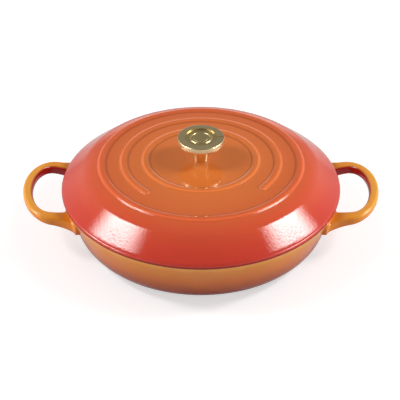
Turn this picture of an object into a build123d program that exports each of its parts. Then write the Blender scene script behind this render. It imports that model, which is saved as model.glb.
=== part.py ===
from build123d import *
import math
import os

# Enamelled cast-iron braiser: a low flared pot with two loop handles cast in one piece with it, and a domed
# lid with raised rings and a turned metal knob, which a screw holds from inside the lid.
# Origin at the centre of the base, on the table. +Z is up, the handles lie along X and the front faces -Y.
# Lengths are in millimetres and angles in degrees.

# Pot casting
pot_height = 62.0
pot_rim_radius = 155.2
pot_flare_angle = 19.6
pot_corner_radius = 34.5
pot_wall = 3.5
pot_base_thickness = 4.2
pot_rim_round = 1.0
foot_ring_width = 8.0
foot_ring_height = 1.0

# Loop handles, cast with the pot
handle_reach = 44.6
handle_bow_depth = 35.8
handle_half_width = 57.3
handle_root_flare = 9.7
handle_tip_width = 10.8
handle_side_width = 13.8
handle_gap_bow_depth = 20.4
handle_gap_root_taper = 5.0
handle_tip_thickness = 10.0
handle_root_thickness = 16.0
handle_root_inset = 34.0
handle_tip_drop = 3.5
handle_rise_angle = 10.2
handle_edge_round_share = 0.38
handle_root_fillet = 2.5

# Lid casting
lid_overhang = 1.5
lid_height = 36.3
lid_crown_radius = 1370.0
lid_cone_angle = 39.0
lid_edge_height = 4.6
lid_edge_draft = 15.0
lid_wall = 3.3
lid_shoulder_round = 36.0
lid_edge_round = 6.5
lid_bottom_round = 1.6
lid_hollow_round = 10.0
skirt_depth = 5.0
skirt_thickness = 3.2
skirt_play = 1.6
skirt_round = 1.0
pad_count = 4
pad_angle = 12.0
pad_play = 0.5

# Raised rings on the crown of the lid
ring_count = 3
interrupted_ring_number = 1
outer_ring_inset = 46.2
ring_spacing = 24.3
ring_foot_width = 9.4
ring_top_width = 6.2
ring_height = 1.5
ring_top_round = 1.4
ring_foot_round = 1.2
ring_end_round = 0.8
ring_gap_centre_angle = 3.7
ring_gap_angle = 89.8

# Boss under the crown, for the screw
boss_radius = 10.0
boss_height = 1.2
boss_round = 0.8

# Knob
knob_height = 28.3
knob_flange_radius = 26.8
knob_flange_height = 7.3
knob_flange_taper = 1.0
knob_flange_round = 0.8
knob_stem_top_radius = 9.7
knob_stem_foot_radius = 8.3
knob_stem_fillet = 2.5
knob_recess_radius = 17.8
knob_recess_depth = 2.6
index_groove_width = 1.2
index_groove_depth = 0.8

# Disc in the knob's recess
inlay_play = 0.08
inlay_thickness = 1.2
inlay_step_radius = 12.0
inlay_step_height = 0.7
inlay_step_round = 0.5
inlay_dish_depth = 0.5

# Knob screw and lock washer
screw_radius = 3.0
screw_reach = 12.0
screw_tip_room = 2.0
screw_thread_play = 0.05
screw_hole_play = 0.4
screw_head_radius = 6.0
screw_head_height = 3.4
screw_head_round = 2.0
screw_cross_length = 6.4
screw_cross_width = 1.2
screw_cross_depth = 1.8
washer_play = 0.2
washer_radius = 5.6
washer_thickness = 1.2
washer_slit_width = 0.8
washer_slit_angle = 20.0

# How far a cutting shape runs past the faces that it cuts
overrun = 2.0


def tangent(angle):
    """Tangent of an angle in degrees."""
    return math.tan(math.radians(angle))


def cosine(angle):
    """Cosine of an angle in degrees."""
    return math.cos(math.radians(angle))


# Heights and radii that several pieces share
handle_tip_radius = pot_rim_radius + handle_reach
lid_radius = pot_rim_radius + lid_overhang
lid_top = pot_height + lid_height
inner_crown_top = lid_top - lid_wall
boss_face = inner_crown_top - boss_height
washer_face = boss_face - washer_thickness
screw_hole_radius = screw_radius + screw_hole_play


def pot_outer_radius(height):
    """Radius of the pot's flared outside at a height on its straight wall."""
    return pot_rim_radius - (pot_height - height) * tangent(pot_flare_angle)


def pot_inner_radius(height):
    """Radius of the pot's flared inside at a height on its straight wall."""
    return pot_outer_radius(height) - pot_wall / cosine(pot_flare_angle)


def flat_shape(*points):
    """Face inside the straight outline through the given (radius, height) points."""
    return make_face(Polyline(*points, close=True))


def rounded(face, corner, radius):
    """The face with the corner nearest to the given point rounded."""
    nearest = face.vertices().sort_by_distance(Vector(*corner))[0]
    return fillet(nearest, radius)


def turned(section, sweep=360.0):
    """Solid that a (radius, height) section sweeps about the upright axis, from +X towards +Y."""
    return revolve(Plane.XZ * section, Axis.Z, sweep)


def pot_body():
    """Outside of the pot as a solid, with the round corner between wall and base."""
    corner = (pot_outer_radius(0), 0)
    section = flat_shape((0, 0), corner, (pot_rim_radius, pot_height), (0, pot_height))
    return turned(rounded(section, corner, pot_corner_radius))


def pot_cavity():
    """Inside of the pot as a solid, open past the rim."""
    above = pot_height + overrun
    corner = (pot_inner_radius(pot_base_thickness), pot_base_thickness)
    section = flat_shape((0, pot_base_thickness), corner, (pot_inner_radius(above), above), (0, above))
    return turned(rounded(section, corner, pot_corner_radius - pot_wall))


def foot_recess():
    """Shallow round recess under the base, which leaves a foot ring to stand on."""
    corner_start = pot_outer_radius(0) - pot_corner_radius * tangent((90 - pot_flare_angle) / 2)
    mouth_radius = corner_start - foot_ring_width
    section = flat_shape(
        (0, -overrun),
        (mouth_radius + overrun, -overrun),
        (mouth_radius - foot_ring_height, foot_ring_height),
        (0, foot_ring_height),
    )
    return turned(section)


def handle_middle_height(radius):
    """Height of the middle of the handle's bar at a distance from the pot's axis."""
    return pot_height - handle_tip_drop - (handle_tip_radius - radius) * tangent(handle_rise_angle)


def arm_edge(bow_centre, bow_half_width, wall_half_width):
    """One long side of an arm in plan, from the bow to the closing line inside the pot."""
    wall_radius = pot_outer_radius(handle_middle_height(pot_rim_radius))
    wall_x = math.sqrt(wall_radius**2 - wall_half_width**2)
    flare = TangentArc((bow_centre, bow_half_width), (wall_x, wall_half_width), tangent=(-1, 0))
    heading = flare % 1
    closing_x = pot_rim_radius - handle_root_inset
    closing_y = wall_half_width + heading.Y / heading.X * (closing_x - wall_x)
    return [flare, Line((wall_x, wall_half_width), (closing_x, closing_y))]


def loop_plan(reach, bow_depth, bow_half_width, wall_half_width):
    """Plan of a loop that reaches so far beyond the rim: a half ellipse and two arms towards the pot."""
    bow_centre = pot_rim_radius + reach - bow_depth
    bow = EllipticalCenterArc((bow_centre, 0), bow_depth, bow_half_width, start_angle=-90, arc_size=180)
    front = arm_edge(bow_centre, bow_half_width, wall_half_width)
    back = [mirror(edge, Plane.XZ) for edge in front]
    closing = Line(front[1] @ 1, back[1] @ 1)
    return make_face([bow, *front, *back, closing])


def handle_side():
    """Side view of the handle: a bar that rises outwards and thickens towards the pot."""
    root_x = pot_rim_radius - handle_root_inset
    tip_x = handle_tip_radius + overrun
    root_middle = handle_middle_height(root_x)
    tip_middle = handle_middle_height(tip_x)
    return flat_shape(
        (root_x, root_middle - handle_root_thickness / 2),
        (tip_x, tip_middle - handle_tip_thickness / 2),
        (tip_x, tip_middle + handle_tip_thickness / 2),
        (root_x, root_middle + handle_root_thickness / 2),
    )


def handle():
    """The loop handle at +X, with its long edges rounded and its arms ending inside the pot's outline."""
    root_half_width = handle_half_width + handle_root_flare
    gap_reach = handle_reach - handle_tip_width
    gap_half_width = handle_half_width - handle_side_width
    gap_root_half_width = gap_half_width - handle_gap_root_taper
    outline = loop_plan(handle_reach, handle_bow_depth, handle_half_width, root_half_width)
    gap = loop_plan(gap_reach, handle_gap_bow_depth, gap_half_width, gap_root_half_width)
    loop = extrude(outline - gap, pot_height + handle_tip_thickness)
    bar = loop & extrude(Plane.XZ * handle_side(), handle_tip_radius, both=True)
    faces = bar.faces().sort_by(Axis.Z)
    long_edges = (faces[0].edges() + faces[-1].edges()).filter_by(Axis.Y, reverse=True)
    return fillet(long_edges, handle_tip_thickness * handle_edge_round_share)


def pot():
    """The pot casting: base, flared wall, foot ring and both loop handles."""
    body = pot_body()
    right = handle()
    left = mirror(right, Plane.YZ)
    blank = body + right + left
    blank = fillet(new_edges(body, right, left, combined=blank), handle_root_fillet)
    casting = blank - pot_cavity() - foot_recess()
    rim_edges = casting.edges().filter_by(GeomType.CIRCLE).group_by(Axis.Z)[-1]
    return fillet(rim_edges, pot_rim_round)


def crown_height(radius, crown_top, crown_radius):
    """Height of a domed crown at a distance from its axis."""
    return crown_top - crown_radius + math.sqrt(crown_radius**2 - radius**2)


def shoulder_point(crown_top, crown_radius, cone_height_on_axis):
    """The (radius, height) where a domed crown meets the cone that falls away from it."""
    slope = tangent(lid_cone_angle)
    rise = cone_height_on_axis - (crown_top - crown_radius)
    reach = math.sqrt(crown_radius**2 * (1 + slope**2) - rise**2)
    radius = (slope * rise - reach) / (1 + slope**2)
    return radius, cone_height_on_axis - radius * slope


def ring_centre(number):
    """Radius of the middle of a raised ring, counted inwards from the outermost, which is 0."""
    return lid_radius - outer_ring_inset - number * ring_spacing


def lid_shell_section():
    """Half section of the lid: crown, cone, edge, seat on the pot's rim, skirt and hollow inside."""
    seat = pot_height
    skirt_foot = seat - skirt_depth
    skirt_outer = pot_inner_radius(seat) - skirt_play
    skirt_outer_foot = pot_inner_radius(skirt_foot) - skirt_play
    skirt_inner = skirt_outer_foot - skirt_thickness
    edge_foot = (lid_radius, seat)
    edge = (lid_radius - lid_edge_height * tangent(lid_edge_draft), seat + lid_edge_height)
    cone_on_axis = edge[1] + edge[0] * tangent(lid_cone_angle)
    inner_cone_on_axis = cone_on_axis - lid_wall / cosine(lid_cone_angle)
    inner_cone_foot = (skirt_inner, inner_cone_on_axis - skirt_inner * tangent(lid_cone_angle))
    inner_crown_radius = lid_crown_radius - lid_wall
    shoulder = shoulder_point(lid_top, lid_crown_radius, cone_on_axis)
    inner_shoulder = shoulder_point(inner_crown_top, inner_crown_radius, inner_cone_on_axis)
    skirt_outer_end = (skirt_outer_foot, skirt_foot)
    skirt_inner_end = (skirt_inner, skirt_foot)
    crown = RadiusArc((0, lid_top), shoulder, lid_crown_radius)
    outside = Polyline(shoulder, edge, edge_foot, (skirt_outer, seat), skirt_outer_end, skirt_inner_end)
    inside = Polyline(skirt_inner_end, inner_cone_foot, inner_shoulder)
    inner_crown = RadiusArc((0, inner_crown_top), inner_shoulder, inner_crown_radius)
    section = make_face([crown, *outside.edges(), *inside.edges(), inner_crown,
                         Line((0, inner_crown_top), (0, lid_top))])
    section = rounded(section, shoulder, lid_shoulder_round)
    section = rounded(section, inner_shoulder, lid_shoulder_round - lid_wall)
    section = rounded(section, edge, lid_edge_round)
    section = rounded(section, edge_foot, lid_bottom_round)
    section = rounded(section, inner_cone_foot, lid_hollow_round)
    section = rounded(section, skirt_outer_end, skirt_round)
    return rounded(section, skirt_inner_end, skirt_round)


def ring_section(centre):
    """Section of one raised ring: flat top and sloping sides that run on down into the lid's wall."""
    half_foot = ring_foot_width / 2
    half_top = ring_top_width / 2
    sunk = lid_wall / 2
    buried = half_foot + sunk * (half_foot - half_top) / ring_height
    outline = flat_shape(
        (-buried, -sunk), (buried, -sunk), (half_top, ring_height), (-half_top, ring_height)
    )
    outline = rounded(outline, (half_top, ring_height), ring_top_round)
    outline = rounded(outline, (-half_top, ring_height), ring_top_round)
    crown_lean = math.degrees(math.asin(centre / lid_crown_radius))
    height = crown_height(centre, lid_top, lid_crown_radius)
    return Pos(centre, height) * Rot(0, 0, -crown_lean) * outline


def lid_section():
    """Half section of the lid with its whole rings, each with a soft foot."""
    section = lid_shell_section()
    for number in range(ring_count):
        if number == interrupted_ring_number:
            continue
        centre = ring_centre(number)
        section = section + ring_section(centre)
        for side in (-ring_foot_width / 2, ring_foot_width / 2):
            foot = centre + side
            foot_point = (foot, crown_height(foot, lid_top, lid_crown_radius))
            section = rounded(section, foot_point, ring_foot_round)
    return section


def interrupted_ring():
    """The ring that stops on both sides of the front, with its two ends rounded over."""
    centre = ring_centre(interrupted_ring_number)
    ring = turned(ring_section(centre), 360 - ring_gap_angle)
    ends = ring.faces().filter_by(GeomType.PLANE)
    buried = ShapeList(end.edges().sort_by(Axis.Z)[0] for end in ends)
    ring = fillet(ends.edges() - buried, ring_end_round)
    return Rot(0, 0, 270 + ring_gap_centre_angle + ring_gap_angle / 2) * ring


def skirt_pads():
    """Small pads on the skirt that keep the lid centred in the pot's rim."""
    seat = pot_height
    foot = seat - skirt_depth + skirt_round
    sunk_seat = pot_inner_radius(seat) - skirt_play - skirt_thickness / 2
    sunk_foot = pot_inner_radius(foot) - skirt_play - skirt_thickness / 2
    section = flat_shape(
        (sunk_foot, foot),
        (pot_inner_radius(foot) - pad_play, foot),
        (pot_inner_radius(seat) - pad_play, seat),
        (sunk_seat, seat),
    )
    pad = Rot(0, 0, -pad_angle / 2) * turned(section, pad_angle)
    between_pads = 360 / pad_count
    return [Rot(0, 0, (number + 1 / 2) * between_pads) * pad for number in range(pad_count)]


def screw_boss():
    """Flat round boss under the crown, which the lock washer bears on."""
    section = flat_shape(
        (0, boss_face), (boss_radius, boss_face), (boss_radius, inner_crown_top), (0, inner_crown_top)
    )
    return turned(rounded(section, (boss_radius, boss_face), boss_round))


def lid():
    """The lid casting: shell, raised rings, skirt pads and the drilled boss."""
    shell = turned(lid_section())
    ring = interrupted_ring()
    casting = shell + ring
    casting = fillet(new_edges(shell, ring, combined=casting), ring_foot_round)
    for pad in skirt_pads():
        casting = casting + pad
    casting = casting + screw_boss()
    drill = Cylinder(screw_hole_radius, lid_top - boss_face + 2 * overrun)
    return casting - Pos(0, 0, (lid_top + boss_face) / 2) * drill


def knob():
    """The turned knob: slightly waisted stem, broad flange, recessed top and blind hole for the screw."""
    top = lid_top + knob_height
    flange_foot = top - knob_flange_height
    lower_radius = knob_flange_radius - knob_flange_taper
    section = flat_shape(
        (0, lid_top),
        (knob_stem_foot_radius, lid_top),
        (knob_stem_top_radius, flange_foot),
        (lower_radius, flange_foot),
        (knob_flange_radius, top),
        (knob_recess_radius, top),
        (knob_recess_radius, top - knob_recess_depth),
        (0, top - knob_recess_depth),
    )
    section = rounded(section, (knob_stem_top_radius, flange_foot), knob_stem_fillet)
    section = rounded(section, (lower_radius, flange_foot), knob_flange_round)
    section = rounded(section, (knob_flange_radius, top), knob_flange_round)
    hole_depth = screw_reach + screw_tip_room
    hole = Pos(0, 0, lid_top) * Cylinder(
        screw_radius + screw_thread_play, 2 * hole_depth, align=(Align.CENTER, Align.CENTER, Align.CENTER)
    )
    groove = Pos(knob_recess_radius - overrun, 0, top - index_groove_depth) * Box(
        knob_flange_radius, index_groove_width, knob_recess_depth, align=(Align.MIN, Align.CENTER, Align.MIN)
    )
    return turned(section) - hole - groove


def knob_inlay():
    """The thin disc in the knob's recess, with a low step and a shallow dish in the middle."""
    radius = knob_recess_radius - inlay_play
    base = lid_top + knob_height - knob_recess_depth
    face = base + inlay_thickness
    step_top = face + inlay_step_height
    step = (inlay_step_radius, step_top)
    dish = RadiusArc((0, step_top - inlay_dish_depth), step, -dish_radius())
    outline = Polyline(step, (inlay_step_radius, face), (radius, face), (radius, base), (0, base),
                       (0, step_top - inlay_dish_depth))
    section = make_face([dish, *outline.edges()])
    return turned(rounded(section, step, inlay_step_round))


def dish_radius():
    """Radius of the sphere that forms the inlay's shallow dish."""
    return (inlay_step_radius**2 + inlay_dish_depth**2) / (2 * inlay_dish_depth)


def knob_screw():
    """Pan-head screw that comes up through washer and lid into the knob, with a cross recess."""
    shank_end = lid_top + screw_reach
    head_foot = washer_face - screw_head_height
    section = flat_shape(
        (0, head_foot),
        (screw_head_radius, head_foot),
        (screw_head_radius, washer_face),
        (screw_radius, washer_face),
        (screw_radius, shank_end),
        (0, shank_end),
    )
    screw = turned(rounded(section, (screw_head_radius, head_foot), screw_head_round))
    slot = Box(screw_cross_length, screw_cross_width, 2 * screw_cross_depth)
    cross = Pos(0, 0, head_foot) * (slot + Rot(0, 0, 90) * slot)
    return screw - cross


def lock_washer():
    """Split spring washer, pressed flat between the screw's head and the lid's boss."""
    inner_radius = screw_radius + washer_play
    section = flat_shape(
        (inner_radius, washer_face),
        (washer_radius, washer_face),
        (washer_radius, boss_face),
        (inner_radius, boss_face),
    )
    slit_middle = (inner_radius + washer_radius) / 2
    slit = Box(2 * slit_middle, washer_slit_width, 2 * washer_radius)
    slit = Pos(slit_middle, 0, boss_face) * Rot(washer_slit_angle, 0, 0) * slit
    return turned(section) - slit


def write_parts():
    """Writes every piece to its own STEP file."""
    pieces = {
        "pot": pot(),
        "lid": lid(),
        "knob": knob(),
        "knob_inlay": knob_inlay(),
        "knob_screw": knob_screw(),
        "lock_washer": lock_washer(),
    }
    os.makedirs("parts", exist_ok=True)
    for name, piece in pieces.items():
        export_step(piece, f"parts/{name}.step")


write_parts()
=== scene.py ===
"""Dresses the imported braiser: two enamelled castings, a brass knob set and a plain studio."""

import logging
import math
from collections.abc import Iterable, Sequence
from dataclasses import dataclass, field
from enum import Enum

import bmesh
import bpy
from bmesh.types import BMesh, BMFace, BMVert
from bpy.types import Material, Node, NodeSocket, NodeTree, Object
from mathutils import Matrix, Quaternion, Vector


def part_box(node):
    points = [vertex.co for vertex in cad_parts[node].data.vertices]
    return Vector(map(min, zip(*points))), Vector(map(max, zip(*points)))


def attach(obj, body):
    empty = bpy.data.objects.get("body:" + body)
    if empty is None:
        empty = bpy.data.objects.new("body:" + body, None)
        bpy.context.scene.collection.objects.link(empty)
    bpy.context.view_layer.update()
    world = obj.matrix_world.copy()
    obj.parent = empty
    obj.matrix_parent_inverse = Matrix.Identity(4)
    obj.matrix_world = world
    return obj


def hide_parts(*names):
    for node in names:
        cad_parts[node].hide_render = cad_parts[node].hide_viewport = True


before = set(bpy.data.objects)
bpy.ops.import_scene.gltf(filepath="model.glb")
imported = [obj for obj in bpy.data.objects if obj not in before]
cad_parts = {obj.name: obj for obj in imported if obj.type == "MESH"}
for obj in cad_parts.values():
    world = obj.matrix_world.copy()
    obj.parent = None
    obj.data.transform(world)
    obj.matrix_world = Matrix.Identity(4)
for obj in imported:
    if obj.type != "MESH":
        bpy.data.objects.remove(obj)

log = logging.getLogger("braiser")

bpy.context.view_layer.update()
FULL_TURN = 2 * math.pi
MERGE_DISTANCE = 1e-6
SHARP_ANGLE = math.radians(38)


class Body(Enum):
    """Bodies of the frame that the pieces ride on."""

    POT = "pot"
    LID = "lid"


class Slot(Enum):
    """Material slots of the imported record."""

    POT = "pot_enamel"
    LID = "lid_enamel"
    KNOB = "knob_metal"
    INLAY = "inlay_metal"


class Coat(Enum):
    """Material places on a casting, in the order in which its finishes are added."""

    OUTSIDE = 0
    INSIDE = 1
    BARE_RIM = 2


# Small helpers


def linear(colour: str) -> tuple[float, float, float, float]:
    """Turns an sRGB hex colour to a linear RGBA value.

    Args:
        colour: six hex digits after a hash sign.

    Returns:
        The linear red, green and blue, and an alpha of one.
    """

    def channel(value: int) -> float:
        """Linear value of one channel, from 0 to 1."""
        share = value / 255
        return share / 12.92 if share <= 0.04045 else ((share + 0.055) / 1.055) ** 2.4

    red, green, blue = (int(colour[start:start + 2], 16) for start in (1, 3, 5))
    return channel(red), channel(green), channel(blue), 1.0


def smooth_step(share: float) -> float:
    """Rises softly from 0 to 1 as the share does, and stays level outside that range."""
    share = min(1.0, max(0.0, share))
    return share * share * (3 - 2 * share)


def flat_radius(point: Vector) -> float:
    """Distance of a point from the upright axis."""
    return math.hypot(point.x, point.y)


def add_node(tree: NodeTree, kind: str, inputs: dict, **settings: object) -> Node:
    """Adds a node to a tree with its settings, values and links.

    Args:
        tree: the node tree of a material or world.
        kind: the node's type name.
        inputs: for each input, by name or number, a value or the socket that feeds it.
        settings: properties of the node itself.

    Returns:
        The new node.
    """
    node = tree.nodes.new(kind)
    for name, value in settings.items():
        setattr(node, name, value)
    for key, value in inputs.items():
        if isinstance(value, NodeSocket):
            tree.links.new(value, node.inputs[key])
        else:
            node.inputs[key].default_value = value
    return node


def new_material(name: str) -> tuple[Material, NodeTree]:
    """Makes an empty node material.

    Args:
        name: the material's name.

    Returns:
        The material and its node tree.
    """
    material = bpy.data.materials.new(name)
    material.use_nodes = True
    material.node_tree.nodes.clear()
    return material, material.node_tree


def finish_material(tree: NodeTree, shader: Node) -> None:
    """Links a shader's first output to the material's surface."""
    add_node(tree, "ShaderNodeOutputMaterial", {"Surface": shader.outputs[0]})


def calculate(tree: NodeTree, operation: str, *values: object) -> NodeSocket:
    """Adds a calculation.

    Args:
        tree: the node tree.
        operation: the calculation's name.
        values: its inputs in order, each a number or a socket.

    Returns:
        The socket with the result.
    """
    return add_node(tree, "ShaderNodeMath", dict(enumerate(values)), operation=operation).outputs[0]


def map_range(tree: NodeTree, value: NodeSocket, source: tuple[float, float] = (0.0, 1.0),
              target: tuple[float, float] = (0.0, 1.0), shape: str = "LINEAR") -> NodeSocket:
    """Maps a value from one range to another and keeps it inside the other.

    Args:
        tree: the node tree.
        value: the socket with the value.
        source: ends of the value's range.
        target: what the value is at those ends.
        shape: the way from one end to the other.

    Returns:
        The socket with the result.
    """
    ends = {"From Min": source[0], "From Max": source[1], "To Min": target[0], "To Max": target[1]}
    node = add_node(tree, "ShaderNodeMapRange", {"Value": value, **ends}, interpolation_type=shape)
    return node.outputs["Result"]


def add_noise(tree: NodeTree, point: NodeSocket, width: float, detail: float,
              roughness: float = 0.5) -> NodeSocket:
    """Adds a noise texture.

    Args:
        tree: the material's node tree.
        point: the socket with the point's object coordinates.
        width: width of one patch of the noise.
        detail: number of finer layers in it.
        roughness: how strong those layers are.

    Returns:
        The socket with the noise, from 0 to 1.
    """
    inputs = {"Vector": point, "Scale": 1 / width, "Detail": detail, "Roughness": roughness}
    return add_node(tree, "ShaderNodeTexNoise", inputs).outputs["Fac"]


def vary(tree: NodeTree, noise: NodeSocket, share: float, middle: float = 1.0) -> NodeSocket:
    """Lets a value vary with a noise.

    Args:
        tree: the material's node tree.
        noise: the socket with the noise.
        share: share by which the value rises and falls.
        middle: the value in the middle.

    Returns:
        The socket with the varied value.
    """
    return map_range(tree, noise, target=(middle * (1 - share), middle * (1 + share)))


def add_surface(tree: NodeTree, colour: object, tone: NodeSocket, relief: NodeSocket, depth: float,
                strength: object = 1.0, **inputs: object) -> None:
    """Adds the shader of a material with a tone and a relief, and makes it the surface.

    Args:
        tree: the material's node tree.
        colour: the colour or its socket.
        tone: the socket that makes the colour lighter or darker.
        relief: the socket with the height of the relief.
        depth: depth of the relief.
        strength: how strongly the relief shows.
        inputs: the shader's other inputs, by name.
    """
    toned = add_node(tree, "ShaderNodeHueSaturation", {"Value": tone, "Color": colour})
    bump = add_node(tree, "ShaderNodeBump", {"Height": relief, "Distance": depth, "Strength": strength})
    shader = add_node(tree, "ShaderNodeBsdfPrincipled", {
        "Base Color": toned.outputs["Color"], "Normal": bump.outputs["Normal"], **inputs})
    finish_material(tree, shader)


def colour_ramp(tree: NodeTree, share: NodeSocket, stops: Sequence[tuple[float, str]]) -> NodeSocket:
    """Adds a colour ramp.

    Args:
        tree: the material's node tree.
        share: the socket that runs from 0 to 1.
        stops: a place and an sRGB hex colour for each stop, in rising order.

    Returns:
        The ramp's colour socket.
    """
    node = add_node(tree, "ShaderNodeValToRGB", {"Fac": share})
    elements = node.color_ramp.elements
    while len(elements) < len(stops):
        elements.new(1.0)
    for element, (place, colour) in zip(elements, stops):
        element.position = place
        element.color = linear(colour)
    return node.outputs["Color"]


# Turned meshes


ROUNDING_SEGMENTS = 8
SHOULDER_SEGMENTS = 32


@dataclass(frozen=True)
class Corner:
    """A corner of a half section that is turned about the upright axis.

    Attributes:
        radius: distance from the axis.
        height: height above the table.
        rounding: radius of the round that replaces the corner.
        segments: straight pieces of that round.
    """

    radius: float
    height: float
    rounding: float = 0.0
    segments: int = ROUNDING_SEGMENTS


def round_corner(mesh: BMesh, vert: BMVert, corner: Corner) -> None:
    """Rounds the corner that two edges of a half section make.

    Args:
        mesh: the mesh that holds the half section.
        vert: the vertex at the corner.
        corner: the corner's sizes.
    """
    ways = [(edge.other_vert(vert).co - vert.co).normalized() for edge in vert.link_edges]
    turn = math.pi - ways[0].angle(ways[1])
    bmesh.ops.bevel(
        mesh,
        geom=[vert],
        offset=corner.rounding * math.tan(turn / 2),
        offset_type="OFFSET",
        segments=corner.segments,
        profile=0.5,
        affect="VERTICES",
        material=-1,
    )


def add_stretch(mesh: BMesh, corners: Sequence[Corner], before: BMVert | None = None) -> list[BMVert]:
    """Adds a run of straight lines to a half section and rounds its corners.

    Args:
        mesh: the mesh that holds the half section.
        corners: the corners in order.
        before: the vertex that the first corner is joined to, if there is one.

    Returns:
        The vertices at the two ends of the run.
    """
    verts = [mesh.verts.new((corner.radius, 0, corner.height)) for corner in corners]
    chain = verts if before is None else [before, *verts]
    for pair in zip(chain, chain[1:]):
        mesh.edges.new(pair)
    ends = [verts[0], verts[-1]]
    for vert, corner in zip(verts, corners):
        if corner.rounding and vert is not verts[-1]:
            round_corner(mesh, vert, corner)
    return ends


def swing_arc(mesh: BMesh, start: BMVert, sphere_centre: float, sphere_radius: float, to_radius: float,
              steps: int) -> BMVert:
    """Draws an arc of a half section by swinging a vertex about a point on the upright axis.

    Args:
        mesh: the mesh that holds the half section.
        start: the vertex that the arc starts from.
        sphere_centre: height of the arc's centre on the axis.
        sphere_radius: radius of the arc.
        to_radius: distance from the upright axis at which the arc ends.
        steps: number of straight pieces in the arc.

    Returns:
        The arc's last vertex.
    """
    sweep = math.asin(to_radius / sphere_radius) - math.asin(flat_radius(start.co) / sphere_radius)
    swung = bmesh.ops.spin(
        mesh,
        geom=[start],
        cent=(0, 0, sphere_centre),
        axis=(0, 1, 0),
        angle=sweep,
        steps=steps,
    )
    return next(item for item in swung["geom_last"] if isinstance(item, BMVert))


def split_rows(mesh: BMesh, longest: float) -> None:
    """Cuts the half section's long edges, so that gloss runs evenly over the turned face.

    Args:
        mesh: the mesh that holds the half section.
        longest: the longest edge that may stay.
    """
    for edge in list(mesh.edges):
        cuts = int(edge.calc_length() / longest)
        if cuts:
            bmesh.ops.subdivide_edges(mesh, edges=[edge], cuts=cuts)


def turn_section(mesh: BMesh, sectors: Sequence[tuple[float, int]], start_angle: float = 0.0) -> None:
    """Turns the half section in a mesh about the upright axis, one sector after another.

    Args:
        mesh: the mesh that holds the half section, in the plane through +X and +Z.
        sectors: angle and number of steps of each sector, which add up to a full turn.
        start_angle: angle at which the first sector starts.
    """
    section: list = [*mesh.verts, *mesh.edges]
    bmesh.ops.rotate(mesh, cent=(0, 0, 0), matrix=Matrix.Rotation(start_angle, 3, "Z"), verts=mesh.verts[:])
    for angle, steps in sectors:
        turned = bmesh.ops.spin(
            mesh, geom=section, cent=(0, 0, 0), axis=(0, 0, 1), angle=angle, steps=steps)
        section = turned["geom_last"]
    bmesh.ops.remove_doubles(mesh, verts=mesh.verts[:], dist=MERGE_DISTANCE)
    bmesh.ops.dissolve_degenerate(mesh, edges=mesh.edges[:], dist=MERGE_DISTANCE)
    bmesh.ops.recalc_face_normals(mesh, faces=mesh.faces[:])


def shade(mesh: BMesh) -> None:
    """Shades a mesh smoothly but for its sharp edges."""
    for face in mesh.faces:
        face.smooth = True
    for edge in mesh.edges:
        if len(edge.link_faces) == 2 and edge.calc_face_angle() > SHARP_ANGLE:
            edge.smooth = False


def new_piece(name: str, mesh: BMesh, materials: Iterable[Material]) -> Object:
    """Makes an object of a finished mesh.

    Args:
        name: the piece's name.
        mesh: the mesh, which is freed.
        materials: the object's materials, in the order of the faces' material numbers.

    Returns:
        The object, at the origin of the frame.
    """
    data = bpy.data.meshes.new(name)
    mesh.to_mesh(data)
    mesh.free()
    for material in materials:
        data.materials.append(material)
    piece = bpy.data.objects.new(name, data)
    bpy.context.scene.collection.objects.link(piece)
    return piece


# Finishes


# Middle of a noise texture's range
NOISE_MIDDLE = 0.5
# Spacing of a wave texture's rings at a scale of one
WAVE_SPACING = 0.314
# Distances from the axis over which the lid's colours run
LID_RUN = (0.0, 0.156)


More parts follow.
